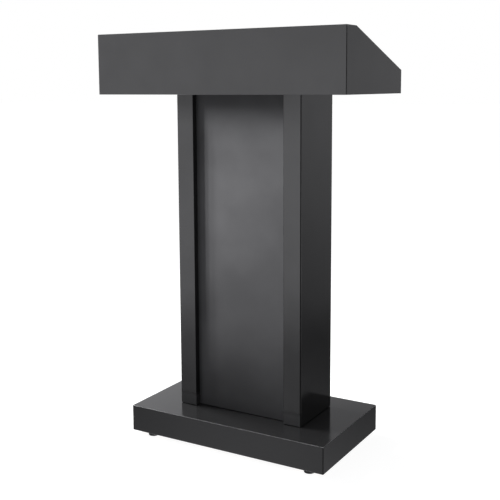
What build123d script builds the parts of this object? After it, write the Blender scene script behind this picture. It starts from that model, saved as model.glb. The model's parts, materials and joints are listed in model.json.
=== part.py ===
from build123d import *
from math import atan2, cos, sin, tan
import os

# Presentation lectern: a wedge-shaped desk box on a shelved column, on a plinth with levelling feet.
#
# Frame: millimetres, +Z up, origin on the floor under the middle of the whole lectern.
# The audience is on the -Y side and the presenter on the +Y side.
# Left is -X and right is +X, as the audience sees them.
# All boards are equally thick. Outer corners are mitred, with a narrow shadow groove along each upright one.

# ---------------------------------------------------------------- driving dimensions
OVERALL_HEIGHT = 1153.0
BOARD = 18.0
EDGE_ROUND = 1.2  # wrapped outer edges
SEAM_CHAMFER = 0.4  # where two boards meet flush
CORNER_GROOVE = 2.0  # shadow groove along desk and plinth corners, width and depth
FIT = 0.05  # clearance all round a fitting in its hole

DESK_WIDTH = 755.0
DESK_DEPTH = 358.0
DESK_HEIGHT = 165.0  # at the fascia
DESK_REAR_HEIGHT = 63.0
LEDGE_DEPTH = 56.0  # flat top, fascia included
READING_RECESS = 12.0  # reading board below the side panels' sloped edges

COLUMN_WIDTH = 394.0
COLUMN_DEPTH = 188.0
COLUMN_SETBACK = 119.0  # behind the fascia
STILE_WIDTH = 54.0
COLUMN_GROOVE = 3.0  # shadow groove along the column's front corners
COLUMN_SHADOW_GAP = 2.0  # upright boards' lower ends above the plinth

PLINTH_WIDTH = 616.0
PLINTH_DEPTH = 354.0
PLINTH_HEIGHT = 74.0
PLINTH_SETBACK = 30.0  # behind the fascia
PLINTH_CLEARANCE = 14.0  # aprons' lower edges above the floor

# ---------------------------------------------------------------- faces and levels that follow
FRONT = -(PLINTH_SETBACK + PLINTH_DEPTH) / 2  # fascia's outer face
DESK_REAR = FRONT + DESK_DEPTH
DESK_SIDE = DESK_WIDTH / 2
DESK_BOTTOM = OVERALL_HEIGHT - DESK_HEIGHT
DESK_INNER_SIDE = DESK_SIDE - BOARD
DESK_INNER_FRONT = FRONT + BOARD
DESK_INNER_REAR = DESK_REAR - BOARD
LEDGE_REAR = FRONT + LEDGE_DEPTH
SLOPE = atan2(DESK_HEIGHT - DESK_REAR_HEIGHT, DESK_DEPTH - LEDGE_DEPTH)

COLUMN_FRONT = FRONT + COLUMN_SETBACK
COLUMN_REAR = COLUMN_FRONT + COLUMN_DEPTH
COLUMN_SIDE = COLUMN_WIDTH / 2
COLUMN_INNER_SIDE = COLUMN_SIDE - BOARD
COLUMN_INNER_FRONT = COLUMN_FRONT + 2 * BOARD  # behind the stiles and the centre panel

PLINTH_FRONT = FRONT + PLINTH_SETBACK
PLINTH_REAR = PLINTH_FRONT + PLINTH_DEPTH
PLINTH_SIDE = PLINTH_WIDTH / 2
PLINTH_TOP = PLINTH_CLEARANCE + PLINTH_HEIGHT
PLINTH_CEILING = PLINTH_TOP - BOARD  # underside of the plinth's top board
PLINTH_INNER_SIDE = PLINTH_SIDE - BOARD
PLINTH_INNER_FRONT = PLINTH_FRONT + BOARD
PLINTH_INNER_REAR = PLINTH_REAR - BOARD

# ---------------------------------------------------------------- knock-down fittings
DOWEL_R = 4.0
DOWEL_LENGTH = 32.0
DOWEL_IN_END = 20.0  # the rest is in the face of the other board
CAM_R = 7.5
CAM_DEPTH = 12.5
CAM_INSET = 24.0  # cam's axis from the end of its board
CAM_CROSS = (9.0, 1.6, 4.0)  # length, width and doubled depth of each driver slot
CAM_BOLT_R = 3.0
CAM_BOLT_HEAD_R = 3.5
CAM_BOLT_HEAD = 4.0
CAM_BOLT_IN_FACE = 11.0

SCREW_R = 2.0
SCREW_HEAD_R = 4.0
SCREW_CROSS = (4.4, 0.9, 2.0)  # length, width and doubled depth of each driver slot
BATTEN_SCREW = 32.0
READING_BOARD_SCREW = 32.0
STILE_SCREW = 30.0
STILE_SCREW_COUNT = 5
BLOCK_SCREW = 60.0

DESK_BOLT_R = 3.0  # M6, column top board to desk
DESK_BOLT_LENGTH = 30.0
DESK_BOLT_X = 110.0
PLINTH_BOLT_R = 4.0  # M8, plinth top board to column
PLINTH_BOLT_LENGTH = 32.0
PLINTH_BOLT_X = 130.0
BOLT_Y = (COLUMN_INNER_FRONT + 34.0, COLUMN_REAR - 34.0)
BOLT_CLEARANCE = 0.4
INSERT_DEPTH = 15.0
INSERT_WALL = 2.0
INSERT_FLANGE = 1.5

# ---------------------------------------------------------------- desk battens and column shelf
BATTEN_SIZE = 20.0
BATTEN_Y = (LEDGE_REAR + 16.0, DESK_INNER_REAR - 14.0)

SHELF_ROWS = 9
SHELF_PITCH = 32.0
SHELF_ROW = 4  # the row in use, counted from the lowest
SHELF_SIDE_GAP = 1.0
SHELF_FRONT_GAP = 1.0
SHELF_REAR_INSET = 6.0
SUPPORT_PLUG_R = 2.5
SUPPORT_PLUG = 9.0
SUPPORT_HOLE = 10.0
SUPPORT_TAB = 12.0  # reach under the shelf, and width
SUPPORT_PLATE = 1.5
SUPPORT_ABOVE_PLUG = 7.0
SUPPORT_BELOW_PLUG = 5.0
SUPPORT_Y = (COLUMN_INNER_FRONT + 37.0, COLUMN_REAR - 37.0)
LOWEST_ROW = (PLINTH_TOP + DESK_BOTTOM - (SHELF_ROWS - 1) * SHELF_PITCH) / 2

# ---------------------------------------------------------------- plinth blocks and levelling feet
BLOCK_WIDTH = 72.0
BLOCK_DEPTH = 48.0
STRETCHER_X = 62.0  # middle of each stretcher from the lectern's middle

FOOT_X = PLINTH_SIDE - 54.0
FOOT_INSET_Y = 29.0  # foot's axis inside the plinth's front or rear face
PAD_R = 15.0
PAD_HEIGHT = 8.0
PAD_HUB_R = 8.0
PAD_HUB_TOP = 11.0
BALL_R = 4.5
BALL_Z = 6.4
BALL_GAP = 0.06
NECK_R = 2.8
NECK_GAP = 0.6
SPANNER_FLATS = 13.0
SPANNER_BOTTOM = 12.0
SPANNER_TOP = 16.0
STUD_R = 4.0
STUD_TOP = 52.0
STUD_HOLE_TOP = 58.0
NUT_FLANGE_R = 10.0
NUT_FLANGE = 1.5
NUT_BARREL_R = 5.5
NUT_TOP = 31.0
BLOCK_BOTTOM = SPANNER_TOP + NUT_FLANGE


# ---------------------------------------------------------------- shapes
def slab(x, y, z):
    """A box between pairs of limits along X, Y and Z."""
    low = Vector(x[0], y[0], z[0])
    high = Vector(x[1], y[1], z[1])
    return Pos(*((low + high) / 2)) * Box(*(high - low))


def rod(start, end, radius):
    """A round bar from one point to another."""
    start, end = Vector(*start), Vector(*end)
    length = (end - start).length
    bar = Cylinder(radius, length, align=(Align.CENTER, Align.CENTER, Align.MIN))
    return Plane(origin=start, z_dir=end - start) * bar


def upright(x, y, z, radius):
    """A round bar along Z between two levels."""
    return rod((x, y, z[0]), (x, y, z[1]), radius)


def side_profile(points, x):
    """A side view outline, given as (y, z) points, extruded between two limits along X."""
    face = Plane.YZ * Polygon(*points, align=None)
    return Pos(x[0], 0, 0) * extrude(face, x[1] - x[0], dir=(1, 0, 0))


def driver_cross(size):
    """A cross-shaped cutter for a driver, centred on the origin."""
    length, width, depth = size
    return Box(length, width, depth) + Box(width, length, depth)


def corner_groove(x, y, z, reach=CORNER_GROOVE):
    """A square bar on an upright corner, to be cut from it."""
    return slab((x - reach, x + reach), (y - reach, y + reach), (z[0] - 1, z[1] + 1))


def mitred(shell, own, *neighbours):
    """The board of a hollow shell behind one outer face, cut at 45 degrees against its neighbours.

    Each face is its outward normal and its distance from the origin along that normal.
    """
    normal, reach = own
    for other, other_reach in neighbours:
        corner = normal * reach + other * other_reach
        shell = split(shell, bisect_by=Plane(origin=corner, z_dir=normal - other), keep=Keep.TOP)
    return shell


def right_half(shape):
    return split(shape, bisect_by=Plane(origin=(0, 0, 0), z_dir=(1, 0, 0)), keep=Keep.TOP)


def left_and_right(shape):
    """The mirror image of a right-hand shape, and the shape."""
    return mirror(shape, about=Plane.YZ), shape


def both_sides(shapes):
    """Every right-hand shape of a list together with its mirror image."""
    return [image for shape in shapes for image in left_and_right(shape)]


# ---------------------------------------------------------------- screws, bolts and inserts
def screw(point, direction, length):
    """A countersunk wood screw with its head flush at the point, driven along the direction."""
    taper = SCREW_HEAD_R - SCREW_R
    body = Pos(0, 0, length / 2) * Cylinder(SCREW_R, length)
    head = Pos(0, 0, taper / 2) * Cone(SCREW_HEAD_R, SCREW_R, taper)
    return Plane(origin=point, z_dir=direction) * (body + head - Rot(0, 0, 45) * driver_cross(SCREW_CROSS))


def screw_hole(point, direction, length):
    taper = SCREW_HEAD_R - SCREW_R
    body = Pos(0, 0, (length + FIT) / 2) * Cylinder(SCREW_R + FIT, length + FIT)
    head = Pos(0, 0, taper / 2) * Cone(SCREW_HEAD_R + FIT, SCREW_R + FIT, taper)
    return Plane(origin=point, z_dir=direction) * (body + head)


def cap_bolt(x, y, z, radius, length):
    """A socket-head bolt pointing up, the upper face of its head at z."""
    head_height = 2 * radius
    shank = Pos(0, 0, length / 2) * Cylinder(radius, length)
    head = Pos(0, 0, -head_height / 2) * Cylinder(1.6 * radius, head_height)
    head = chamfer(head.edges().group_by(Axis.Z)[0], 0.2 * radius)
    socket = Pos(0, 0, -head_height) * extrude(RegularPolygon(0.95 * radius, 6), radius)
    return Pos(x, y, z) * (shank + head - socket)


def washer_thickness(radius):
    return 0.5 * radius


def washer(x, y, z, radius):
    """A plain washer whose upper face is at z."""
    height = washer_thickness(radius)
    ring = Cylinder(2.1 * radius, height) - Cylinder(radius + BOLT_CLEARANCE, height)
    return Pos(x, y, z - height / 2) * ring


def insert_body(x, y, z, radius, grow):
    flange = upright(x, y, (z, z + INSERT_FLANGE), radius + 2 * INSERT_WALL + grow)
    return flange + upright(x, y, (z, z + INSERT_DEPTH + grow), radius + INSERT_WALL + grow)


def insert(x, y, z, radius):
    """A threaded insert let into a board's underside, its flange flush at z."""
    return insert_body(x, y, z, radius, 0.0) - upright(x, y, (z, z + INSERT_DEPTH), radius + FIT)


def insert_hole(x, y, z, radius):
    return insert_body(x, y, z, radius, FIT)


def bolt_places(spread):
    return [(x, y) for x in (-spread, spread) for y in BOLT_Y]


# ---------------------------------------------------------------- joints from board end to board face
class EndJoint:
    """The fitting between the end of a level board and the face of another board.

    `at` is on the meeting plane, at mid-thickness of the end board. `out` points into the face board.
    `cam_side` is +1 for a cam let in from the end board's top, or -1 from its underside.
    """

    def __init__(self, at, out, cam_side=1):
        self.at = Vector(*at)
        self.out = Vector(*out)
        self.cam_face = self.at - self.out * CAM_INSET + Vector(0, 0, cam_side * BOARD / 2)
        self.inwards = Vector(0, 0, -cam_side)

    def dowel(self, grow=0.0):
        start = self.at - self.out * (DOWEL_IN_END + grow)
        end = self.at + self.out * (DOWEL_LENGTH - DOWEL_IN_END + grow)
        return rod(start, end, DOWEL_R + grow)

    def dowel_hole(self):
        return self.dowel(FIT)

    def bolt_channel(self):
        """The bore in the end board that a cam bolt reaches its cam through."""
        return rod(self.at - self.out * CAM_INSET, self.at, CAM_BOLT_HEAD_R + 2 * FIT)

    def cam(self):
        disc = Pos(0, 0, CAM_DEPTH / 2) * Cylinder(CAM_R, CAM_DEPTH) - driver_cross(CAM_CROSS)
        return Plane(origin=self.cam_face, z_dir=self.inwards) * disc - self.bolt_channel()

    def cam_hole(self):
        pocket = rod(self.cam_face, self.cam_face + self.inwards * (CAM_DEPTH + FIT), CAM_R + FIT)
        return pocket + self.bolt_channel()

    def cam_bolt(self):
        tip = self.at - self.out * (CAM_INSET - 1.0)
        shank = rod(tip, self.at + self.out * CAM_BOLT_IN_FACE, CAM_BOLT_R)
        return shank + rod(tip, tip + self.out * CAM_BOLT_HEAD, CAM_BOLT_HEAD_R)

    def cam_bolt_hole(self):
        return rod(self.at, self.at + self.out * (CAM_BOLT_IN_FACE + FIT), CAM_BOLT_R + FIT)


# ---------------------------------------------------------------- desk box
DESK_FRONT_FACE = (Vector(0, -1, 0), -FRONT)
DESK_LEFT_FACE = (Vector(-1, 0, 0), DESK_SIDE)
DESK_RIGHT_FACE = (Vector(1, 0, 0), DESK_SIDE)


def slope_z(y, below=0.0):
    """Height at y of the reading slope, or of a plane parallel to it at a square distance below."""
    return OVERALL_HEIGHT - (y - LEDGE_REAR) * tan(SLOPE) - below / cos(SLOPE)


def sloped_bar(x, y, below, thickness):
    """A bar that follows the slope, its top at a square distance below it."""
    top = [(edge, slope_z(edge, below)) for edge in y]
    bottom = [(edge, slope_z(edge, below + thickness)) for edge in reversed(y)]
    return side_profile(top + bottom, x)


def desk_shell():
    """Fascia and side panels as one U, before the mitres part them."""
    outline = [
        (FRONT, DESK_BOTTOM),
        (FRONT, OVERALL_HEIGHT),
        (LEDGE_REAR, OVERALL_HEIGHT),
        (DESK_REAR, slope_z(DESK_REAR)),
        (DESK_REAR, DESK_BOTTOM),
    ]
    shape = side_profile(outline, (-DESK_SIDE, DESK_SIDE))
    front_corners = shape.edges().filter_by(Axis.Z).group_by(Axis.Y)[0]
    shape = fillet([edge for edge in shape.edges() if edge not in front_corners], EDGE_ROUND)
    for side in (-1, 1):
        shape -= corner_groove(side * DESK_SIDE, FRONT, (DESK_BOTTOM, OVERALL_HEIGHT))
    return shape - slab(
        (-DESK_INNER_SIDE, DESK_INNER_SIDE),
        (DESK_INNER_FRONT, DESK_REAR + 1),
        (DESK_BOTTOM - 1, OVERALL_HEIGHT + 1),
    )


def desk_ledge():
    """Flat top board behind the fascia."""
    board = slab(
        (-DESK_INNER_SIDE, DESK_INNER_SIDE),
        (DESK_INNER_FRONT, LEDGE_REAR),
        (OVERALL_HEIGHT - BOARD, OVERALL_HEIGHT),
    )
    top_edges = board.edges().group_by(Axis.Z)[-1]
    rear_edge = top_edges.sort_by(Axis.Y)[-1]
    board = fillet(rear_edge, EDGE_ROUND)
    front_edge = board.edges().group_by(Axis.Z)[-1].sort_by(Axis.Y)[0]
    return chamfer(front_edge, SEAM_CHAMFER)


def desk_rear_rail():
    """Rear board of the desk. Its top edge stands above the reading board as the paper stop."""
    outline = [
        (DESK_INNER_REAR, DESK_BOTTOM),
        (DESK_REAR, DESK_BOTTOM),
        (DESK_REAR, slope_z(DESK_REAR)),
        (DESK_INNER_REAR, slope_z(DESK_INNER_REAR)),
    ]
    board = side_profile(outline, (-DESK_INNER_SIDE, DESK_INNER_SIDE))
    inner_bottom = board.edges().filter_by(Axis.X).group_by(Axis.Z)[0].sort_by(Axis.Y)[0]
    long_edges = [edge for edge in board.edges().filter_by(Axis.X) if edge != inner_bottom]
    return fillet(long_edges, EDGE_ROUND)


def batten_screw_places():
    """Points on the right-hand batten's inner face, driven into the side panel."""
    for share in (0.12, 0.5, 0.88):
        y = BATTEN_Y[0] + share * (BATTEN_Y[1] - BATTEN_Y[0])
        z = slope_z(y, READING_RECESS + BOARD + BATTEN_SIZE / 2)
        yield (DESK_INNER_SIDE - BATTEN_SIZE, y, z), (1, 0, 0)


def reading_board_screw_places():
    """Points on the right-hand batten's underside, driven square to the slope into the reading board."""
    for share in (0.25, 0.75):
        y = BATTEN_Y[0] + share * (BATTEN_Y[1] - BATTEN_Y[0])
        z = slope_z(y, READING_RECESS + BOARD + BATTEN_SIZE)
        yield (DESK_INNER_SIDE - BATTEN_SIZE / 2, y, z), (0, sin(SLOPE), cos(SLOPE))


def desk_bottom_joints():
    """Right-hand cam joints and dowel joints of the bottom board, by the board that they enter."""
    level = DESK_BOTTOM + BOARD / 2
    right, front, rear = (1, 0, 0), (0, -1, 0), (0, 1, 0)
    cams = {
        "side": [EndJoint((DESK_INNER_SIDE, y, level), right) for y in (FRONT + 80, DESK_REAR - 80)],
        "front": [EndJoint((x, DESK_INNER_FRONT, level), front) for x in (90, 270)],
        "rear": [EndJoint((x, DESK_INNER_REAR, level), rear) for x in (90, 270)],
    }
    dowels = {
        "side": [EndJoint((DESK_INNER_SIDE, y, level), right) for y in (FRONT + 130, DESK_REAR - 130)],
        "front": [EndJoint((x, DESK_INNER_FRONT, level), front) for x in (180, 330)],
        "rear": [EndJoint((x, DESK_INNER_REAR, level), rear) for x in (180, 330)],
    }
    return cams, dowels


def build_desk():
    shell = desk_shell()
    cams, dowels = desk_bottom_joints()
    all_cams = sum(cams.values(), [])
    bottom_dowels = sum(dowels.values(), [])
    ledge_z = OVERALL_HEIGHT - BOARD / 2
    ledge_dowels = [EndJoint((x, DESK_INNER_FRONT, ledge_z), (0, -1, 0)) for x in (60, 180, 300)]
    ledge_end = EndJoint((DESK_INNER_SIDE, LEDGE_REAR - 18, ledge_z), (1, 0, 0))
    rail_y = DESK_REAR - BOARD / 2
    rail_ends = [EndJoint((DESK_INNER_SIDE, rail_y, DESK_BOTTOM + z), (1, 0, 0)) for z in (30, 50)]
    batten_screws = list(batten_screw_places())
    reading_board_screws = list(reading_board_screw_places())

    def face_holes(board):
        return [j.cam_bolt_hole() for j in cams[board]] + [j.dowel_hole() for j in dowels[board]]

    nodes = {}
    ledge_holes = both_sides([j.dowel_hole() for j in ledge_dowels])
    fascia = mitred(shell, DESK_FRONT_FACE, DESK_LEFT_FACE, DESK_RIGHT_FACE)
    nodes["desk_fascia"] = fascia - both_sides(face_holes("front")) - ledge_holes

    side_holes = face_holes("side") + [j.dowel_hole() for j in rail_ends + [ledge_end]]
    side_holes += [screw_hole(*place, BATTEN_SCREW) for place in batten_screws]
    side = right_half(mitred(shell, DESK_RIGHT_FACE, DESK_FRONT_FACE)) - side_holes
    nodes["desk_side_left"], nodes["desk_side_right"] = left_and_right(side)

    nodes["desk_ledge"] = desk_ledge() - ledge_holes - both_sides([ledge_end.dowel_hole()])
    rail_holes = face_holes("rear") + [j.dowel_hole() for j in rail_ends]
    nodes["desk_rear_rail"] = desk_rear_rail() - both_sides(rail_holes)

    bottom = slab(
        (-DESK_INNER_SIDE, DESK_INNER_SIDE),
        (DESK_INNER_FRONT, DESK_INNER_REAR),
        (DESK_BOTTOM, DESK_BOTTOM + BOARD),
    )
    bottom_holes = [j.cam_hole() for j in all_cams] + [j.dowel_hole() for j in bottom_dowels]
    inserts = [insert_hole(x, y, DESK_BOTTOM, DESK_BOLT_R) for x, y in bolt_places(DESK_BOLT_X)]
    nodes["desk_bottom_board"] = bottom - both_sides(bottom_holes) - inserts

    reading_x = (-DESK_INNER_SIDE, DESK_INNER_SIDE)
    reading_board = sloped_bar(reading_x, (LEDGE_REAR, DESK_INNER_REAR), READING_RECESS, BOARD)
    reading_holes = [screw_hole(*place, READING_BOARD_SCREW) for place in reading_board_screws]
    nodes["desk_reading_board"] = reading_board - both_sides(reading_holes)

    batten_x = (DESK_INNER_SIDE - BATTEN_SIZE, DESK_INNER_SIDE)
    batten = sloped_bar(batten_x, BATTEN_Y, READING_RECESS + BOARD, BATTEN_SIZE)
    batten_holes = [screw_hole(*place, BATTEN_SCREW) for place in batten_screws]
    nodes["desk_battens"] = both_sides([batten - batten_holes - reading_holes])

    nodes["batten_screws"] = both_sides([screw(*place, BATTEN_SCREW) for place in batten_screws])
    board_screws = [screw(*place, READING_BOARD_SCREW) for place in reading_board_screws]
    nodes["reading_board_screws"] = both_sides(board_screws)
    nodes["desk_cam_locks"] = both_sides([j.cam() for j in all_cams])
    nodes["desk_cam_bolts"] = both_sides([j.cam_bolt() for j in all_cams])
    all_dowels = bottom_dowels + ledge_dowels + rail_ends + [ledge_end]
    nodes["desk_dowels"] = both_sides([j.dowel() for j in all_dowels])
    return nodes


# ---------------------------------------------------------------- column
COLUMN_FRONT_FACE = (Vector(0, -1, 0), -COLUMN_FRONT)
COLUMN_RIGHT_FACE = (Vector(1, 0, 0), COLUMN_SIDE)
COLUMN_Z = (PLINTH_TOP + COLUMN_SHADOW_GAP, DESK_BOTTOM)
COLUMN_X = (-COLUMN_INNER_SIDE, COLUMN_INNER_SIDE)
COLUMN_TOP_Z = (DESK_BOTTOM - BOARD, DESK_BOTTOM)
COLUMN_BOTTOM_Z = (PLINTH_TOP, PLINTH_TOP + BOARD)


def column_shell():
    """Stiles and side boards as two L shapes, before the mitres part them."""
    beyond = (COLUMN_Z[0] - 1, COLUMN_Z[1] + 1)
    gap = COLUMN_SIDE - STILE_WIDTH
    shape = slab((-COLUMN_SIDE, COLUMN_SIDE), (COLUMN_FRONT, COLUMN_REAR), COLUMN_Z)
    shape -= slab(COLUMN_X, (COLUMN_FRONT + BOARD, COLUMN_REAR + 1), beyond)
    shape -= slab((-gap, gap), (COLUMN_FRONT - 1, COLUMN_FRONT + BOARD + 1), beyond)
    by_depth = shape.edges().filter_by(Axis.Z).group_by(Axis.Y)
    stile_edges = by_depth[0].sort_by(lambda edge: abs(edge.center().X))[:2]
    shape = fillet(stile_edges + by_depth[-1], EDGE_ROUND)
    for side in (-1, 1):
        shape -= corner_groove(side * COLUMN_SIDE, COLUMN_FRONT, COLUMN_Z, COLUMN_GROOVE)
    return shape


def level_board(x, y, z):
    """A level board whose rear edges are rounded."""
    board = slab(x, y, z)
    return fillet(board.edges().filter_by(Axis.X).group_by(Axis.Y)[-1], EDGE_ROUND)


def stile_screw_places():
    """Points on the centre panel's back, driven forwards into the right-hand stile."""
    x = (COLUMN_SIDE - STILE_WIDTH + COLUMN_INNER_SIDE) / 2
    first, last = COLUMN_Z[0] + 70, COLUMN_Z[1] - 70
    for step in range(STILE_SCREW_COUNT):
        z = first + step * (last - first) / (STILE_SCREW_COUNT - 1)
        yield (x, COLUMN_INNER_FRONT, z), (0, -1, 0)


def column_joints(z, cam_side):
    """Right-hand cam joints and dowel joints of the column's top or bottom board."""
    level = (z[0] + z[1]) / 2
    cam_y = (COLUMN_INNER_FRONT + 28, COLUMN_REAR - 28)
    dowel_y = (COLUMN_INNER_FRONT + 58, COLUMN_REAR - 58)
    cams = [EndJoint((COLUMN_INNER_SIDE, y, level), (1, 0, 0), cam_side) for y in cam_y]
    dowels = [EndJoint((COLUMN_INNER_SIDE, y, level), (1, 0, 0), cam_side) for y in dowel_y]
    return cams, dowels


def row_z(row):
    return LOWEST_ROW + row * SHELF_PITCH


def shelf_support_holes():
    """Blind holes in the right-hand side board, in two upright rows."""
    reach = COLUMN_INNER_SIDE + SUPPORT_HOLE
    return [
        rod((COLUMN_INNER_SIDE, y, row_z(row)), (reach, y, row_z(row)), SUPPORT_PLUG_R + FIT)
        for row in range(SHELF_ROWS)
        for y in SUPPORT_Y
    ]


def shelf_support(y):
    """Right-hand angle support: a plug in the side board, a plate against it and a tab under the shelf."""
    inner, z = COLUMN_INNER_SIDE, row_z(SHELF_ROW)
    top = z + SUPPORT_ABOVE_PLUG
    width = (y - SUPPORT_TAB / 2, y + SUPPORT_TAB / 2)
    plug = rod((inner - SUPPORT_PLATE, y, z), (inner + SUPPORT_PLUG, y, z), SUPPORT_PLUG_R)
    plate = slab((inner - SUPPORT_PLATE, inner), width, (z - SUPPORT_BELOW_PLUG, top))
    tab = slab((inner - SUPPORT_TAB, inner), width, (top - SUPPORT_PLATE, top))
    outer_corners = (plate + tab).edges().filter_by(Axis.Z).group_by(Axis.X)[0]
    return fillet(outer_corners, 3.0) + plug


def build_column():
    shell = column_shell()
    top_cams, top_dowels = column_joints(COLUMN_TOP_Z, cam_side=1)
    bottom_cams, bottom_dowels = column_joints(COLUMN_BOTTOM_Z, cam_side=-1)
    cams, dowels = top_cams + bottom_cams, top_dowels + bottom_dowels
    screws = list(stile_screw_places())
    desk_bolts = bolt_places(DESK_BOLT_X)
    plinth_bolts = bolt_places(PLINTH_BOLT_X)

    nodes = {}
    side_holes = [j.cam_bolt_hole() for j in cams] + [j.dowel_hole() for j in dowels]
    side = right_half(mitred(shell, COLUMN_RIGHT_FACE, COLUMN_FRONT_FACE))
    side = side - side_holes - shelf_support_holes()
    nodes["column_side_left"], nodes["column_side_right"] = left_and_right(side)

    screw_holes = [screw_hole(*place, STILE_SCREW) for place in screws]
    stile = right_half(mitred(shell, COLUMN_FRONT_FACE, COLUMN_RIGHT_FACE)) - screw_holes
    nodes["column_stile_left"], nodes["column_stile_right"] = left_and_right(stile)
    panel = slab(COLUMN_X, (COLUMN_FRONT + BOARD, COLUMN_INNER_FRONT), COLUMN_Z)
    nodes["column_front_panel"] = panel - both_sides(screw_holes)

    depth = (COLUMN_INNER_FRONT, COLUMN_REAR)
    top_holes = both_sides([j.cam_hole() for j in top_cams] + [j.dowel_hole() for j in top_dowels])
    top_holes += [upright(x, y, COLUMN_TOP_Z, DESK_BOLT_R + BOLT_CLEARANCE) for x, y in desk_bolts]
    nodes["column_top_board"] = level_board(COLUMN_X, depth, COLUMN_TOP_Z) - top_holes
    bottom_holes = both_sides([j.cam_hole() for j in bottom_cams] + [j.dowel_hole() for j in bottom_dowels])
    bottom_holes += [insert_hole(x, y, PLINTH_TOP, PLINTH_BOLT_R) for x, y in plinth_bolts]
    nodes["column_bottom_board"] = level_board(COLUMN_X, depth, COLUMN_BOTTOM_Z) - bottom_holes

    shelf_bottom = row_z(SHELF_ROW) + SUPPORT_ABOVE_PLUG
    nodes["shelf"] = level_board(
        (COLUMN_X[0] + SHELF_SIDE_GAP, COLUMN_X[1] - SHELF_SIDE_GAP),
        (COLUMN_INNER_FRONT + SHELF_FRONT_GAP, COLUMN_REAR - SHELF_REAR_INSET),
        (shelf_bottom, shelf_bottom + BOARD),
    )
    nodes["shelf_supports"] = both_sides([shelf_support(y) for y in SUPPORT_Y])

    nodes["stile_screws"] = both_sides([screw(*place, STILE_SCREW) for place in screws])
    nodes["column_cam_locks"] = both_sides([j.cam() for j in cams])
    nodes["column_cam_bolts"] = both_sides([j.cam_bolt() for j in cams])
    nodes["column_dowels"] = both_sides([j.dowel() for j in dowels])

    under_top = COLUMN_TOP_Z[0]
    under_washer = under_top - washer_thickness(DESK_BOLT_R)
    nodes["desk_bolt_washers"] = [washer(x, y, under_top, DESK_BOLT_R) for x, y in desk_bolts]
    nodes["desk_bolts"] = [
        cap_bolt(x, y, under_washer, DESK_BOLT_R, DESK_BOLT_LENGTH) for x, y in desk_bolts
    ]
    nodes["desk_inserts"] = [insert(x, y, DESK_BOTTOM, DESK_BOLT_R) for x, y in desk_bolts]
    return nodes


# ---------------------------------------------------------------- plinth
PLINTH_FACES = {
    "top": (Vector(0, 0, 1), PLINTH_TOP),
    "front": (Vector(0, -1, 0), -PLINTH_FRONT),
    "left": (Vector(-1, 0, 0), PLINTH_SIDE),
    "rear": (Vector(0, 1, 0), PLINTH_REAR),
    "right": (Vector(1, 0, 0), PLINTH_SIDE),
}
# Clockwise from above, so that each apron meets the one before it and the one after it.
APRONS = ("front", "left", "rear", "right")


def plinth_shell():
    """The plinth's box, open below, before the mitres part its boards."""
    z = (PLINTH_CLEARANCE, PLINTH_TOP)
    shape = slab((-PLINTH_SIDE, PLINTH_SIDE), (PLINTH_FRONT, PLINTH_REAR), z)
    by_height = shape.edges().group_by(Axis.Z)
    shape = fillet(by_height[0] + by_height[-1], EDGE_ROUND)
    for x in (-PLINTH_SIDE, PLINTH_SIDE):
        for y in (PLINTH_FRONT, PLINTH_REAR):
            shape -= corner_groove(x, y, z)
    return shape - slab(
        (-PLINTH_INNER_SIDE, PLINTH_INNER_SIDE),
        (PLINTH_INNER_FRONT, PLINTH_INNER_REAR),
        (PLINTH_CLEARANCE - 1, PLINTH_CEILING),
    )


def foot_places():
    """Name and place of each levelling foot's axis."""
    rows = {"front": PLINTH_FRONT + FOOT_INSET_Y, "rear": PLINTH_REAR - FOOT_INSET_Y}
    columns = {"left": -FOOT_X, "right": FOOT_X}
    return {f"{row}_{column}": (x, y) for row, y in rows.items() for column, x in columns.items()}


def block_screw_places(row):
    """Points on a right-hand block's inner face, driven through it into the front or rear apron."""
    front = row == "front"
    y = PLINTH_INNER_FRONT + BLOCK_DEPTH if front else PLINTH_INNER_REAR - BLOCK_DEPTH
    z = (BLOCK_BOTTOM + PLINTH_CEILING) / 2
    for x in (PLINTH_INNER_SIDE - BLOCK_WIDTH + 12, PLINTH_INNER_SIDE - 12):
        yield (x, y, z), (0, -1 if front else 1, 0)


def corner_block(row):
    """Right-hand front or rear block that carries a foot."""
    y = {
        "front": (PLINTH_INNER_FRONT, PLINTH_INNER_FRONT + BLOCK_DEPTH),
        "rear": (PLINTH_INNER_REAR - BLOCK_DEPTH, PLINTH_INNER_REAR),
    }[row]
    x = (PLINTH_INNER_SIDE - BLOCK_WIDTH, PLINTH_INNER_SIDE)
    foot = foot_places()[f"{row}_right"]
    block = slab(x, y, (BLOCK_BOTTOM, PLINTH_CEILING))
    block -= upright(*foot, (BLOCK_BOTTOM, NUT_TOP + FIT), NUT_BARREL_R + FIT)
    block -= upright(*foot, (BLOCK_BOTTOM, STUD_HOLE_TOP), STUD_R + BOLT_CLEARANCE)
    return block - [screw_hole(*place, BLOCK_SCREW) for place in block_screw_places(row)]


def stretcher():
    """Right-hand rail between the front and rear aprons, under the top board."""
    x = (STRETCHER_X - BOARD / 2, STRETCHER_X + BOARD / 2)
    return slab(x, (PLINTH_INNER_FRONT, PLINTH_INNER_REAR), (BLOCK_BOTTOM, PLINTH_CEILING))


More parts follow.
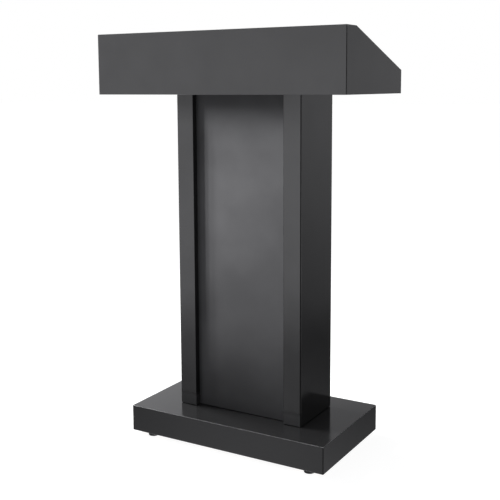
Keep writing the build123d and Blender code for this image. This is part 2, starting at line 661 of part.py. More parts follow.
def build_plinth():
    shell = plinth_shell()
    bolts = bolt_places(PLINTH_BOLT_X)
    nodes = {}
    for index, name in enumerate(APRONS):
        neighbours = (APRONS[index - 1], APRONS[(index + 1) % len(APRONS)], "top")
        board = mitred(shell, PLINTH_FACES[name], *(PLINTH_FACES[neighbour] for neighbour in neighbours))
        if name in ("front", "rear"):
            board -= both_sides([screw_hole(*place, BLOCK_SCREW) for place in block_screw_places(name)])
        nodes[f"plinth_apron_{name}"] = board

    top = mitred(shell, PLINTH_FACES["top"], *(PLINTH_FACES[name] for name in APRONS))
    through = (PLINTH_CEILING, PLINTH_TOP)
    holes = [upright(x, y, through, PLINTH_BOLT_R + BOLT_CLEARANCE) for x, y in bolts]
    nodes["plinth_top_board"] = top - holes

    screws = [place for row in ("front", "rear") for place in block_screw_places(row)]
    nodes["plinth_corner_blocks"] = both_sides([corner_block("front"), corner_block("rear")])
    nodes["corner_block_screws"] = both_sides([screw(*place, BLOCK_SCREW) for place in screws])
    nodes["plinth_stretchers"] = both_sides([stretcher()])

    under_washer = PLINTH_CEILING - washer_thickness(PLINTH_BOLT_R)
    nodes["plinth_bolt_washers"] = [washer(x, y, PLINTH_CEILING, PLINTH_BOLT_R) for x, y in bolts]
    nodes["plinth_bolts"] = [
        cap_bolt(x, y, under_washer, PLINTH_BOLT_R, PLINTH_BOLT_LENGTH) for x, y in bolts
    ]
    nodes["column_inserts"] = [insert(x, y, PLINTH_TOP, PLINTH_BOLT_R) for x, y in bolts]
    return nodes


# ---------------------------------------------------------------- levelling feet
def foot_pad():
    """Round pad with a ball socket, its underside on the floor."""
    disc = upright(0, 0, (0, PAD_HEIGHT), PAD_R)
    disc = fillet(disc.edges().group_by(Axis.Z)[0], 1.5)
    disc = chamfer(disc.edges().group_by(Axis.Z)[-1], 2.0)
    hub = upright(0, 0, (PAD_HEIGHT / 2, PAD_HUB_TOP), PAD_HUB_R)
    socket = Pos(0, 0, BALL_Z) * Sphere(BALL_R + BALL_GAP)
    mouth = upright(0, 0, (BALL_Z, PAD_HUB_TOP + 1), NECK_R + NECK_GAP)
    return disc + hub - socket - mouth


def foot_stud():
    """Threaded stud with spanner flats and the ball that sits in the pad."""
    ball = Pos(0, 0, BALL_Z) * Sphere(BALL_R)
    neck = upright(0, 0, (BALL_Z, SPANNER_BOTTOM), NECK_R)
    hexagon = RegularPolygon(SPANNER_FLATS / 2, 6, major_radius=False)
    flats = Pos(0, 0, SPANNER_BOTTOM) * extrude(hexagon, SPANNER_TOP - SPANNER_BOTTOM)
    shank = upright(0, 0, (SPANNER_TOP, STUD_TOP), STUD_R)
    shank = chamfer(shank.edges().group_by(Axis.Z)[-1], 0.8)
    return ball + neck + flats + shank


def foot_nut():
    """Flanged nut pressed into a corner block from below."""
    flange = upright(0, 0, (SPANNER_TOP, BLOCK_BOTTOM), NUT_FLANGE_R)
    barrel = upright(0, 0, (SPANNER_TOP, NUT_TOP), NUT_BARREL_R)
    return flange + barrel - upright(0, 0, (SPANNER_TOP, NUT_TOP), STUD_R + FIT)


def build_feet():
    nodes = {}
    for name, (x, y) in foot_places().items():
        nodes[f"foot_pad_{name}"] = Pos(x, y, 0) * foot_pad()
        nodes[f"foot_stud_{name}"] = Pos(x, y, 0) * foot_stud()
    nodes["foot_nuts"] = [Pos(x, y, 0) * foot_nut() for x, y in foot_places().values()]
    return nodes


# ---------------------------------------------------------------- one STEP file for each node
os.makedirs("parts", exist_ok=True)
lectern = build_desk() | build_column() | build_plinth() | build_feet()
for name, shape in lectern.items():
    pieces = shape if isinstance(shape, list) else [shape]
    solids = [solid for piece in pieces for solid in piece.solids()]
    export_step(Compound(children=solids) if len(solids) > 1 else solids[0], f"parts/{name}.step")
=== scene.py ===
import json
import math

import bmesh
import bpy
from mathutils import Matrix, Vector


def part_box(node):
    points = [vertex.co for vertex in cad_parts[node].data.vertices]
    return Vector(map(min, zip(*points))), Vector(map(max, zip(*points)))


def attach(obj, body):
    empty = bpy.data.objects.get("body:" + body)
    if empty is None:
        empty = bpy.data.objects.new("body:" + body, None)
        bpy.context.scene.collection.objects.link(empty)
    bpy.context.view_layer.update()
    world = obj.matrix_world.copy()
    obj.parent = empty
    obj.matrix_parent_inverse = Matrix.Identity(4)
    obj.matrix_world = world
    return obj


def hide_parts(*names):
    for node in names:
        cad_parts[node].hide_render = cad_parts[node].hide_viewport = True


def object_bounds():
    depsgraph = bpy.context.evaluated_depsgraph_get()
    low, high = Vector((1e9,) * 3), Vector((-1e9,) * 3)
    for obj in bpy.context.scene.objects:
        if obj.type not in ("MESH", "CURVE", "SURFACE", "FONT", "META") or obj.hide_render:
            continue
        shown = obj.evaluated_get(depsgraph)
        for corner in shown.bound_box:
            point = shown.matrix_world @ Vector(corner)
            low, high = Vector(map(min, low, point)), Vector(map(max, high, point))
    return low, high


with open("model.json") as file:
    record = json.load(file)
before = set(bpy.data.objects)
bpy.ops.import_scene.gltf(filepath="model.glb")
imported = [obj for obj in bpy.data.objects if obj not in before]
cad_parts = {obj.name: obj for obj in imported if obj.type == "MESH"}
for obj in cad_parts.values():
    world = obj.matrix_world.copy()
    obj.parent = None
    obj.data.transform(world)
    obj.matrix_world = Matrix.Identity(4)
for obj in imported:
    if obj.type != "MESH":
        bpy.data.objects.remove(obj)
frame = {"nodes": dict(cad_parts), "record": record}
cad_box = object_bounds()

# Looks of the presentation lectern. Metres; +Z up; the audience is on the -Y side.

MM = 0.001

# ---------------------------------------------------------------- camera
CAMERA_PLACE = (1.2422, -2.1164, 1.0118)
CAMERA_YAW = 0.5315  # radians to the left of +Y
CAMERA_PITCH = -0.1296
CAMERA_ROLL = -0.0050
CAMERA_LENS = 63.39
CAMERA_SHIFT_Y = -0.10


def make_camera():
    data = bpy.data.cameras.new("camera")
    data.lens = CAMERA_LENS
    data.sensor_width = 36.0
    data.shift_y = CAMERA_SHIFT_Y
    data.dof.use_dof = False
    camera = bpy.data.objects.new("camera", data)
    turn = Matrix.Rotation(CAMERA_YAW, 4, "Z") @ Matrix.Rotation(math.pi / 2 + CAMERA_PITCH, 4, "X")
    camera.matrix_world = Matrix.Translation(CAMERA_PLACE) @ turn @ Matrix.Rotation(CAMERA_ROLL, 4, "Z")
    bpy.context.scene.collection.objects.link(camera)
    bpy.context.scene.camera = camera


# ---------------------------------------------------------------- node trees
class Graph:
    """A material or world node tree, with short calls for the nodes used here."""

    def __init__(self, tree):
        self.tree = tree

    def put(self, socket, value):
        if isinstance(value, bpy.types.NodeSocket):
            self.tree.links.new(value, socket)
        else:
            socket.default_value = value

    def add(self, kind, inputs=None, **settings):
        node = self.tree.nodes.new(kind)
        for name, value in settings.items():
            setattr(node, name, value)
        for key, value in (inputs or {}).items():
            self.put(node.inputs[key], value)
        return node

    def noise(self, place, scale, detail=3.0, roughness=0.5, distortion=0.0):
        inputs = {"Scale": scale, "Detail": detail, "Roughness": roughness, "Distortion": distortion}
        return self.add("ShaderNodeTexNoise", {"Vector": place, **inputs}).outputs[0]

    def remap(self, value, low, high, to_low=0.0, to_high=1.0, smooth=True):
        """The value's stretch from low to high, as to_low to to_high, clamped."""
        node = self.add("ShaderNodeMapRange", {0: value, 1: low, 2: high, 3: to_low, 4: to_high})
        node.interpolation_type = "SMOOTHSTEP" if smooth else "LINEAR"
        return node.outputs[0]

    def math(self, operation, a, b=0.0):
        return self.add("ShaderNodeMath", {0: a, 1: b}, operation=operation).outputs[0]

    def mix(self, share, first, second):
        """A colour between two, by share."""
        node = self.add("ShaderNodeMix", data_type="RGBA")
        self.put(node.inputs[0], share)
        for socket, colour in ((node.inputs[6], first), (node.inputs[7], second)):
            self.put(socket, colour if isinstance(colour, bpy.types.NodeSocket) else (*colour, 1.0))
        return node.outputs[2]

    def stretched(self, place, scale):
        return self.add("ShaderNodeMapping", {"Vector": place, "Scale": scale}).outputs[0]

    def bump(self, height, distance, strength, normal=None):
        inputs = {"Height": height, "Distance": distance, "Strength": strength}
        if normal is not None:
            inputs["Normal"] = normal
        return self.add("ShaderNodeBump", inputs).outputs[0]


def new_material(name):
    """The material, its graph, its shader and the place on the object in metres."""
    material = bpy.data.materials.new(name)
    material.use_nodes = True
    graph = Graph(material.node_tree)
    shader = material.node_tree.nodes["Principled BSDF"]
    place = graph.add("ShaderNodeTexCoord").outputs["Object"]
    return material, graph, shader, place


def edge_bevel_mask(graph, radius, place, patch_scale, evenness=0.0):
    """(rounded normal, 0 to 1 mask along the edges, patchy unless evenness is 1)."""
    rounded = graph.add("ShaderNodeBevel", {"Radius": radius}, samples=6).outputs[0]
    flat = graph.add("ShaderNodeNewGeometry").outputs["Normal"]
    facing = graph.add("ShaderNodeVectorMath", {0: rounded, 1: flat}, operation="DOT_PRODUCT").outputs[1]
    edge = graph.remap(facing, 0.99, 0.85)
    patches = graph.remap(graph.noise(place, patch_scale, 5.0, 0.65), 0.45, 0.68, evenness, 1.0)
    return rounded, graph.math("MULTIPLY", edge, patches)


# ---------------------------------------------------------------- materials
LAMINATE_DARK = (0.0080, 0.0080, 0.0083)
LAMINATE_LIGHT = (0.0115, 0.0115, 0.0119)
# Height of the painted light band above the plinth.
FOOT_LIGHT_HEIGHT = 44 * MM


def dust_and_painted_top_light(graph, colour, haze):
    """The colour, lighter on faces that look up: faint settled dust and painted light from above."""
    normal = graph.add("ShaderNodeNewGeometry").outputs["Normal"]
    upwards = graph.remap(graph.add("ShaderNodeSeparateXYZ", {0: normal}).outputs[2], 0.85, 0.99)
    top_dust_and_light_share = graph.math("MULTIPLY", upwards, graph.remap(haze, 0.2, 0.8, 0.75, 1.0))
    return graph.mix(top_dust_and_light_share, colour, (0.0300, 0.0300, 0.0308))


def painted_foot_light(graph, colour, haze, place):
    """The colour, painted lighter on a board just above the plinth: painted light."""
    plinth_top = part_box("plinth_top_board")[1].z
    height = graph.add("ShaderNodeSeparateXYZ", {0: place}).outputs[2]
    low = graph.remap(height, plinth_top + FOOT_LIGHT_HEIGHT, plinth_top + 0.6 * FOOT_LIGHT_HEIGHT)
    foot_light_share = graph.math("MULTIPLY", low, graph.remap(haze, 0.2, 0.8, 0.8, 1.0))
    return graph.mix(foot_light_share, colour, (0.038, 0.038, 0.039))


def satin_black(name, specular=0.5, roughness=0.14, lightness=1.0, painted_edge_highlight=False, with_painted_foot_light=False):
    """Black laminate wrapped round board: fine pebble, faint haze, slightly rubbed edges, and faces that
    look up made lighter by faint dust and painted light.

    With the edge highlight set, a pale, wide painted highlight runs along the edges in place of the rub. A
    board that stands on the plinth can be painted lighter just above it, as painted light.
    """
    material, graph, shader, place = new_material(name)
    # The pale, wide edge line of the plinth's board is a painted highlight on its rounded edges; other
    # boards get a slight real rub there.
    if painted_edge_highlight:
        rounded, edge_share = edge_bevel_mask(graph, 2.2 * MM, place, 60.0, evenness=0.75)
        rub_and_painted_highlight, rub_and_highlight_share = (0.75, 0.75, 0.76), 0.9
    else:
        rounded, edge_share = edge_bevel_mask(graph, 0.7 * MM, place, 60.0)
        rub_and_painted_highlight, rub_and_highlight_share = (0.060, 0.058, 0.055), 0.55

    haze = graph.noise(place, 3.2, 4.0, 0.6)
    dark = [lightness * channel for channel in LAMINATE_DARK]
    light = [lightness * channel for channel in LAMINATE_LIGHT]
    colour = graph.mix(graph.remap(haze, 0.3, 0.7), dark, light)
    # Faces that look up are lighter: faint dust and painted light.
    colour = dust_and_painted_top_light(graph, colour, haze)
    # Just above the plinth the board is painted lighter: painted light.
    if with_painted_foot_light:
        colour = painted_foot_light(graph, colour, haze, place)
    specks = graph.remap(graph.noise(place, 900.0, 2.0, 0.5), 0.72, 0.80, 0.0, 0.35)
    colour = graph.mix(specks, colour, (0.045, 0.044, 0.042))
    colour = graph.mix(graph.math("MULTIPLY", edge_share, rub_and_highlight_share), colour, rub_and_painted_highlight)
    graph.put(shader.inputs["Base Color"], colour)

    smudges = graph.noise(place, 11.0, 5.0, 0.62, 0.4)
    gloss = graph.remap(smudges, 0.35, 0.7, roughness - 0.03, roughness + 0.035)
    gloss = graph.math("ADD", gloss, graph.math("MULTIPLY", edge_share, 0.12))
    graph.put(shader.inputs["Roughness"], gloss)
    shader.inputs["Specular IOR Level"].default_value = specular

    peel = graph.bump(graph.noise(place, 160.0, 2.0), 0.03 * MM, 0.25, rounded)
    pebble = graph.noise(place, 1700.0, 2.0, 0.6)
    graph.put(shader.inputs["Normal"], graph.bump(pebble, 0.02 * MM, 0.5, peel))
    return material


def particle_board(name):
    """Unfinished particle board: pressed chips of several browns with darker glue between."""
    material, graph, shader, place = new_material(name)
    flat = graph.stretched(place, (1.0, 1.0, 2.6))
    chips = graph.add("ShaderNodeTexVoronoi", {"Vector": flat, "Scale": 420.0, "Randomness": 1.0})
    shade = graph.add("ShaderNodeSeparateColor", {0: chips.outputs["Color"]}).outputs[0]
    colour = graph.mix(graph.remap(shade, 0.1, 0.9), (0.30, 0.20, 0.115), (0.56, 0.42, 0.27))
    gaps = graph.remap(chips.outputs["Distance"], 0.45, 0.75)
    colour = graph.mix(graph.math("MULTIPLY", gaps, 0.6), colour, (0.16, 0.10, 0.055))
    blotch = graph.remap(graph.noise(place, 14.0, 3.0), 0.3, 0.7, 0.0, 0.35)
    colour = graph.mix(blotch, colour, (0.38, 0.28, 0.17))
    graph.put(shader.inputs["Base Color"], colour)
    rough = graph.remap(graph.noise(place, 300.0, 3.0), 0.3, 0.7, 0.72, 0.9)
    graph.put(shader.inputs["Roughness"], rough)
    height = graph.math("ADD", shade, graph.noise(place, 1500.0, 2.0))
    graph.put(shader.inputs["Normal"], graph.bump(height, 0.25 * MM, 0.5))
    return material


def plated_steel(name, tint, roughness, spangle, metal_wear):
    """Plated steel: clouded plating, fine scratches and duller, darker worn edges."""
    material, graph, shader, place = new_material(name)
    rounded, edge_share = edge_bevel_mask(graph, 0.25 * MM, place, 220.0)
    cloud = graph.remap(graph.noise(place, spangle, 4.0, 0.6), 0.3, 0.7)
    colour = graph.mix(cloud, [0.82 * c for c in tint], tint)
    colour = graph.mix(graph.math("MULTIPLY", edge_share, 0.7), colour, metal_wear)
    graph.put(shader.inputs["Base Color"], colour)
    shader.inputs["Metallic"].default_value = 1.0
    scratched = graph.stretched(place, (1.0, 1.0, 0.06))
    scratches = graph.noise(scratched, 2600.0, 4.0, 0.7)
    gloss = graph.remap(scratches, 0.3, 0.75, roughness - 0.06, roughness + 0.12)
    gloss = graph.math("ADD", gloss, graph.math("MULTIPLY", edge_share, 0.2))
    graph.put(shader.inputs["Roughness"], gloss)
    graph.put(shader.inputs["Normal"], graph.bump(scratches, 0.02 * MM, 0.4, rounded))
    return material


def turned_beech(name):
    """Beech rod: long pale pores and growth bands along the grain."""
    material, graph, shader, place = new_material(name)
    grain = graph.noise(graph.stretched(place, (1.0, 1.0, 14.0)), 260.0, 4.0, 0.6, 0.6)
    colour = graph.mix(graph.remap(grain, 0.3, 0.7), (0.50, 0.33, 0.19), (0.74, 0.56, 0.38))
    graph.put(shader.inputs["Base Color"], colour)
    graph.put(shader.inputs["Roughness"], graph.remap(grain, 0.3, 0.7, 0.5, 0.68))
    graph.put(shader.inputs["Normal"], graph.bump(grain, 0.08 * MM, 0.5))
    return material


def moulded_plastic(name):
    """Black moulded plastic: spark-eroded grain, scuffed where it meets the floor."""
    material, graph, shader, place = new_material(name)
    rounded, edge_share = edge_bevel_mask(graph, 0.5 * MM, place, 180.0)
    mottle = graph.remap(graph.noise(place, 90.0, 3.0), 0.3, 0.7)
    colour = graph.mix(mottle, (0.010, 0.010, 0.0105), (0.015, 0.015, 0.0155))
    height = graph.add("ShaderNodeSeparateXYZ", {0: place}).outputs[2]
    scuffed = graph.remap(height, 3 * MM, 0.0, 0.0, 0.5)
    scuffed = graph.math("MULTIPLY", scuffed, graph.remap(graph.noise(place, 400.0, 4.0), 0.4, 0.6))
    colour = graph.mix(graph.math("MAXIMUM", scuffed, edge_share), colour, (0.075, 0.073, 0.070))
    graph.put(shader.inputs["Base Color"], colour)
    graph.put(shader.inputs["Roughness"], graph.remap(graph.noise(place, 700.0, 3.0), 0.3, 0.7, 0.48, 0.62))
    shader.inputs["Specular IOR Level"].default_value = 0.2
    grain = graph.noise(place, 2400.0, 2.0, 0.6)
    graph.put(shader.inputs["Normal"], graph.bump(grain, 0.03 * MM, 0.5, rounded))
    return material


def paint(node, material):
    """Puts the material on every slot of a CAD node."""
    piece = frame["nodes"][node]
    for slot in piece.material_slots:
        slot.material = material
    if not piece.material_slots:
        piece.data.materials.append(material)


def finish_nodes():
    """Every CAD node gets the material of its slot in the record, and a few boards a variant of it."""
    by_slot = {
        "black_laminate": satin_black("black_laminate"),
        "raw_board": particle_board("raw_board"),
        "zinc_steel": plated_steel("zinc_steel", (0.60, 0.61, 0.62), 0.34, 45.0, (0.30, 0.29, 0.28)),
        "nickel": plated_steel("nickel", (0.70, 0.68, 0.64), 0.20, 25.0, (0.42, 0.38, 0.30)),
        "beech": turned_beech("beech"),
        "black_plastic": moulded_plastic("black_plastic"),
    }
    for part in frame["record"]["subparts"]:
        paint(part["node"], by_slot[part["material_slot"]])

    # The centre panel's laminate is lighter and duller than the rest.
    panel = satin_black("panel_laminate", specular=0.10, roughness=0.42, lightness=4.0)
    paint("column_front_panel", panel)
    # The stiles are painted lighter just above the plinth, as painted light.
    stile = satin_black("stile_laminate", with_painted_foot_light=True)
    paint("column_stile_left", stile)
    paint("column_stile_right", stile)
    # The plinth's top board carries a painted highlight along its edges.
    paint("plinth_top_board", satin_black("plinth_laminate", painted_edge_highlight=True))
    return by_slot


# ---------------------------------------------------------------- levelling feet
FOOT_NAMES = ("front_left", "front_right", "rear_left", "rear_right")

BALL_R = 4.5 * MM
BALL_Z = 6.4 * MM
NECK_R = 2.8 * MM
NECK_BOTTOM = BALL_Z + math.sqrt(BALL_R ** 2 - NECK_R ** 2)
SPANNER_FLATS = 13.0 * MM
SPANNER_BOTTOM = 12.0 * MM
SPANNER_TOP = 16.0 * MM
SPANNER_CHAMFER = 0.6 * MM
STUD_R = 4.0 * MM
STUD_TOP = 52.0 * MM
THREAD_PITCH = 1.25 * MM
THREAD_DEPTH = 0.7 * MM
THREAD_SAMPLES = 8  # rings in each turn of the thread
STUD_SEGMENTS = 48

PAD_R = 15.0 * MM
PAD_SHOULDER = 6.0 * MM
PAD_HUB_R = 8.0 * MM
PAD_HUB_TOP = 11.0 * MM
PAD_MOUTH_R = 3.4 * MM
PAD_FLUTES = 24
PAD_FLUTE_DEPTH = 0.5 * MM
PAD_SEGMENTS = PAD_FLUTES * 6


def turned(name, rings, segments, bottom, top):
    """Closed surface round the Z axis. Each ring is a height and a radius for an angle.

    Bottom and top are the heights of its poles.
    """
    bm = bmesh.new()
    angles = [2 * math.pi * i / segments for i in range(segments)]
    loops = []
    for height, radius in rings:
        loop = []
        for angle in angles:
            reach = radius(angle)
            loop.append(bm.verts.new((reach * math.cos(angle), reach * math.sin(angle), height)))
        loops.append(loop)
    for lower, upper in zip(loops, loops[1:]):
        for i in range(segments):
            j = (i + 1) % segments
            bm.faces.new((lower[i], lower[j], upper[j], upper[i]))
    low_pole, high_pole = bm.verts.new((0, 0, bottom)), bm.verts.new((0, 0, top))
    for i in range(segments):
        j = (i + 1) % segments
        bm.faces.new((low_pole, loops[0][j], loops[0][i]))
        bm.faces.new((high_pole, loops[-1][i], loops[-1][j]))
    mesh = bpy.data.meshes.new(name)
    bm.to_mesh(mesh)
    bm.free()
    mesh.shade_smooth()
    mesh.set_sharp_from_angle(angle=math.radians(35))
    return mesh


def round_ring(height, radius):
    return height, lambda angle: radius


def ball_rings(centre, radius, start, end, steps):
    """Rings over a ball from one latitude to another, in degrees."""
    rings = []
    for i in range(steps + 1):
        latitude = math.radians(start + (end - start) * i / steps)
        rings.append(round_ring(centre + radius * math.sin(latitude), radius * math.cos(latitude)))
    return rings


def hexagon_ring(height, flats, largest):
    """A ring of a hexagon, no further out than the cone that chamfers its corners."""
    def radius(angle):
        to_flat = (angle % (math.pi / 3)) - math.pi / 6
        return min(flats / 2 / math.cos(to_flat), largest)
    return height, radius


def thread_ring(height):
    """A ring of an external thread with rounded crests, tapered off at the rod's end."""
    def radius(angle):
        turn = (height / THREAD_PITCH - angle / (2 * math.pi)) % 1.0
        groove = min(1.0, max(0.0, abs(turn - 0.5) * 3.2 - 0.4))
        cut = THREAD_DEPTH * groove * groove * (3 - 2 * groove)
        taper = max(0.0, height - (STUD_TOP - 0.9 * MM))
        return min(STUD_R - cut, STUD_R - taper)
    return height, radius


def stud_mesh():
    """Ball, neck, spanner flats and a right-hand M8 thread, from the pad upwards."""
    flats = SPANNER_FLATS
    corner = flats / math.sqrt(3)
    rings = ball_rings(BALL_Z, BALL_R, -80, math.degrees(math.acos(NECK_R / BALL_R)), 10)
    rings += [round_ring(SPANNER_BOTTOM - 0.3 * MM, NECK_R), round_ring(SPANNER_BOTTOM, NECK_R + 0.3 * MM)]
    chamfered = flats / 2 - 0.1 * MM
    rings += [
        hexagon_ring(SPANNER_BOTTOM, flats, chamfered),
        hexagon_ring(SPANNER_BOTTOM + SPANNER_CHAMFER, flats, corner),
        hexagon_ring(SPANNER_TOP - SPANNER_CHAMFER, flats, corner),
        hexagon_ring(SPANNER_TOP, flats, chamfered),
    ]
    root = STUD_R - THREAD_DEPTH
    rings += [round_ring(SPANNER_TOP, root + 0.2 * MM), round_ring(SPANNER_TOP + 0.4 * MM, root)]
    step = THREAD_PITCH / THREAD_SAMPLES
    first = SPANNER_TOP + 0.8 * MM
    count = int((STUD_TOP - first) / step)
    rings += [thread_ring(first + i * step) for i in range(count)]
    rings.append(thread_ring(STUD_TOP))
    return turned("foot_stud", rings, STUD_SEGMENTS, BALL_Z - BALL_R, STUD_TOP)


def pad_mesh():
    """Moulded pad with a fluted grip, tread rings underneath and a ball socket in its hub."""
    def fluted(height, radius, depth):
        def at(angle):
            return radius - depth * (0.5 - 0.5 * math.cos(PAD_FLUTES * angle)) ** 0.7
        return height, at

    tread = []
    for middle in (4.0, 7.0, 10.0):
        for radius, height in ((-0.7, 0.0), (-0.4, 0.5), (0.4, 0.5), (0.7, 0.0)):
            tread.append(round_ring(height * MM, (middle + radius) * MM))
    outside = [
        round_ring(0.0, 12.6 * MM),
        round_ring(0.0, PAD_R - 1.5 * MM),
        round_ring(0.12 * MM, PAD_R - 0.9 * MM),
        round_ring(0.45 * MM, PAD_R - 0.4 * MM),
        round_ring(0.9 * MM, PAD_R - 0.1 * MM),
        round_ring(1.5 * MM, PAD_R),
        fluted(1.9 * MM, PAD_R, 0.0),
        fluted(2.1 * MM, PAD_R, PAD_FLUTE_DEPTH),
        fluted(PAD_SHOULDER - 0.6 * MM, PAD_R, PAD_FLUTE_DEPTH),
        fluted(PAD_SHOULDER - 0.3 * MM, PAD_R, 0.0),
        round_ring(PAD_SHOULDER, PAD_R),
        round_ring(PAD_SHOULDER + 0.5 * MM, PAD_R - 0.6 * MM),
        round_ring(7.9 * MM, PAD_R - 2.2 * MM),
        round_ring(8.0 * MM, PAD_HUB_R + 0.8 * MM),
        round_ring(8.3 * MM, PAD_HUB_R + 0.2 * MM),
        round_ring(8.8 * MM, PAD_HUB_R),
        round_ring(PAD_HUB_TOP - 0.5 * MM, PAD_HUB_R),
        round_ring(PAD_HUB_TOP - 0.15 * MM, PAD_HUB_R - 0.15 * MM),
        round_ring(PAD_HUB_TOP, PAD_HUB_R - 0.5 * MM),
        round_ring(PAD_HUB_TOP, PAD_MOUTH_R + 0.5 * MM),
        round_ring(PAD_HUB_TOP - 0.5 * MM, PAD_MOUTH_R),
    ]
    socket_r = BALL_R + 0.06 * MM
    socket = ball_rings(BALL_Z, socket_r, math.degrees(math.acos(PAD_MOUTH_R / socket_r)), -80, 10)
    return turned("foot_pad", tread + outside + socket, PAD_SEGMENTS, 0.0, BALL_Z - socket_r)


def make_feet(finishes):
    """The feet's shown pieces, each in place of its CAD node and riding on its body."""
    for kind, mesh, finish in (("stud", stud_mesh(), "zinc_steel"), ("pad", pad_mesh(), "black_plastic")):
        mesh.materials.append(finishes[finish])
        for name in FOOT_NAMES:
            low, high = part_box(f"foot_{kind}_{name}")
            piece = bpy.data.objects.new(f"shown_foot_{kind}_{name}", mesh)
            piece.location = ((low.x + high.x) / 2, (low.y + high.y) / 2, 0)
            bpy.context.scene.collection.objects.link(piece)
            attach(piece, f"{kind}_{name}")
            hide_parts(f"foot_{kind}_{name}")


# ---------------------------------------------------------------- floor and light
FLOOR_REACH = 40.0

# Soft glows of the studio walls: azimuth, elevation, sharpness and level. Azimuth 0 is the audience's side,
# and 90 is the right. They fade out where the floor begins, between two heights of the direction looked in.
WALL_GLOWS = (
    (330, -4, 12.0, 0.60),
    (345, -3, 12.0, 1.16),
    (335, 40, 7.0, 0.66),
    (30, 20, 8.0, 0.75),
    (240, 8, 7.0, 1.43),
    (200, -8, 30.0, 1.12),
    (150, 10, 12.0, 0.18),
    (150, 0, 40.0, 0.29),
    (160, 0, 40.0, 0.11),
    (90, -2, 25.0, 0.90),
    (180, -11, 60.0, 0.80),
)
WALL_FADE = (-0.285, -0.235)

# Lit patches of the floor near the lectern, given in the same way.
FLOOR_GLOWS = (
    (330, -26, 40.0, 0.82),
    (150, -30, 60.0, 0.50),
    (210, -26, 40.0, 0.50),
)

# Light from the floor beneath the lectern, which grows as the direction turns down between two heights.
UP_GLOW = 1.9
UP_FADE = (-0.5, -0.6)
BLUE_TINT = 1.03  # of all of these glows

# A high softbox at the left of the lectern, aimed at a height on its axis.
SOFTBOX_AZIMUTH = -90
SOFTBOX_DISTANCE = 2.2
SOFTBOX_HEIGHT = 2.2
SOFTBOX_SIZE = (0.9, 0.6)
SOFTBOX_AIM = 0.65
SOFTBOX_POWER = 109.0

# A bank of lamps at the far left, whose beams share one lower edge across the column. They are aimed to the
# left of the lectern, so that the edge is level there.
BANK_AZIMUTHS = (-73, -65, -57)
BANK_HEIGHTS = (1.42, 1.70, 1.98)
BANK_DISTANCE = 3.2
BANK_AIM_X = -0.80
BANK_FOOT = 0.100  # height of the beams' lower edge at the lectern's axis
BANK_SPREAD = 26.9
BANK_BLEND = 0.02
BANK_LAMP_R = 0.14
BANK_LAMP_POWER = 322.0

BACKDROP_WHITE = (1.0, 1.0, 1.0)
FLOOR_EMISSION = 0.93  # with the light that falls on it, as white as the backdrop


def direction(azimuth, elevation):
    turn, rise = math.radians(azimuth), math.radians(elevation)
    return Vector((math.sin(turn) * math.cos(rise), -math.cos(turn) * math.cos(rise), math.sin(rise)))


def make_floor():
    """A white floor that glows enough to meet the backdrop and still takes a soft shadow."""
    mesh = bpy.data.meshes.new("floor")
    reach = FLOOR_REACH
    corners = [(-reach, -reach, 0), (reach, -reach, 0), (reach, reach, 0), (-reach, reach, 0)]
    mesh.from_pydata(corners, [], [(0, 1, 2, 3)])
    floor = bpy.data.objects.new("floor", mesh)
    bpy.context.scene.collection.objects.link(floor)
    floor.location.z = cad_box[0][2]
    material, graph, shader, place = new_material("pale_floor")
    shade = graph.remap(graph.noise(place, 1.5, 3.0), 0.3, 0.7)
    graph.put(shader.inputs["Base Color"], graph.mix(shade, (0.30, 0.30, 0.30), (0.32, 0.32, 0.32)))
    shader.inputs["Roughness"].default_value = 0.8
    shader.inputs["Specular IOR Level"].default_value = 0.0
    shader.inputs["Emission Color"].default_value = (*BACKDROP_WHITE, 1.0)
    shader.inputs["Emission Strength"].default_value = FLOOR_EMISSION
    mesh.materials.append(material)
    floor.visible_glossy = False
    floor.visible_diffuse = False
    floor.visible_shadow = False


def glows(graph, way, places):
    """The summed level of the glows in the direction looked in."""
    total = 0.0
    for azimuth, elevation, sharpness, level in places:
        inputs = {0: way, 1: direction(azimuth, elevation)}
        towards = graph.add("ShaderNodeVectorMath", inputs, operation="DOT_PRODUCT").outputs[1]
        fade = graph.math("MULTIPLY", graph.math("SUBTRACT", towards, 1.0), sharpness)
        glow = graph.math("MULTIPLY", graph.math("EXPONENT", fade), level)
        total = graph.math("ADD", glow, total)
    return total


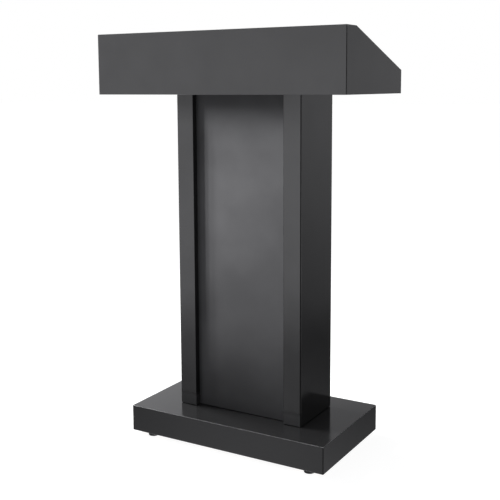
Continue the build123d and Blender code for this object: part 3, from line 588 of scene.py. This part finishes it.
def make_world():
    """A white backdrop to the camera. To the lectern, a dim studio with soft glows and a lit floor."""
    world = bpy.data.worlds.new("studio")
    world.use_nodes = True
    bpy.context.scene.world = world
    graph = Graph(world.node_tree)
    way = graph.add("ShaderNodeTexCoord").outputs["Generated"]
    height = graph.add("ShaderNodeSeparateXYZ", {0: way}).outputs[2]

    walls = graph.math("MULTIPLY", glows(graph, way, WALL_GLOWS), graph.remap(height, *WALL_FADE))
    total = graph.math("ADD", walls, glows(graph, way, FLOOR_GLOWS))
    total = graph.math("ADD", total, graph.remap(height, *UP_FADE, 0.0, UP_GLOW))
    blue = graph.math("MULTIPLY", total, BLUE_TINT)
    tinted = graph.add("ShaderNodeCombineXYZ", {0: total, 1: total, 2: blue}).outputs[0]
    seen = graph.add("ShaderNodeLightPath").outputs["Is Camera Ray"]
    background = world.node_tree.nodes["Background"]
    graph.put(background.inputs["Color"], graph.mix(seen, tinted, BACKDROP_WHITE))


def hang_lamp(data, azimuth, distance, height, aim):
    """Puts a lamp round the lectern's axis, pointing at a place."""
    light = bpy.data.objects.new(data.name, data)
    light.location = direction(azimuth, 0) * distance + Vector((0, 0, height))
    light.rotation_euler = (aim - light.location).to_track_quat("-Z", "Y").to_euler()
    light.visible_camera = False
    bpy.context.scene.collection.objects.link(light)
    return light


def make_softbox():
    data = bpy.data.lights.new("high_left", "AREA")
    data.shape = "RECTANGLE"
    data.size, data.size_y = SOFTBOX_SIZE
    data.energy = SOFTBOX_POWER
    hang_lamp(data, SOFTBOX_AZIMUTH, SOFTBOX_DISTANCE, SOFTBOX_HEIGHT, Vector((0.0, 0.0, SOFTBOX_AIM)))


def bank_aim(azimuth, height):
    """Where a lamp of the bank points, so that its beam's lower edge is at the foot of the bank's light."""
    away = direction(azimuth, 0) * BANK_DISTANCE - Vector((BANK_AIM_X, 0.0, 0.0))
    drop = math.atan2(height - BANK_FOOT, BANK_DISTANCE) - math.radians(BANK_SPREAD) / 2
    return Vector((BANK_AIM_X, 0.0, height - away.length * math.tan(drop)))


def make_bank():
    for azimuth in BANK_AZIMUTHS:
        for height in BANK_HEIGHTS:
            data = bpy.data.lights.new("far_left_bank", "SPOT")
            data.energy = BANK_LAMP_POWER
            data.spot_size = math.radians(BANK_SPREAD)
            data.spot_blend = BANK_BLEND
            data.shadow_soft_size = BANK_LAMP_R
            lamp = hang_lamp(data, azimuth, BANK_DISTANCE, height, bank_aim(azimuth, height))
            lamp.visible_glossy = False


# ---------------------------------------------------------------- put together
make_camera()
make_feet(finish_nodes())
make_floor()
make_world()
make_softbox()
make_bank()
bpy.context.scene.view_settings.view_transform = "Standard"
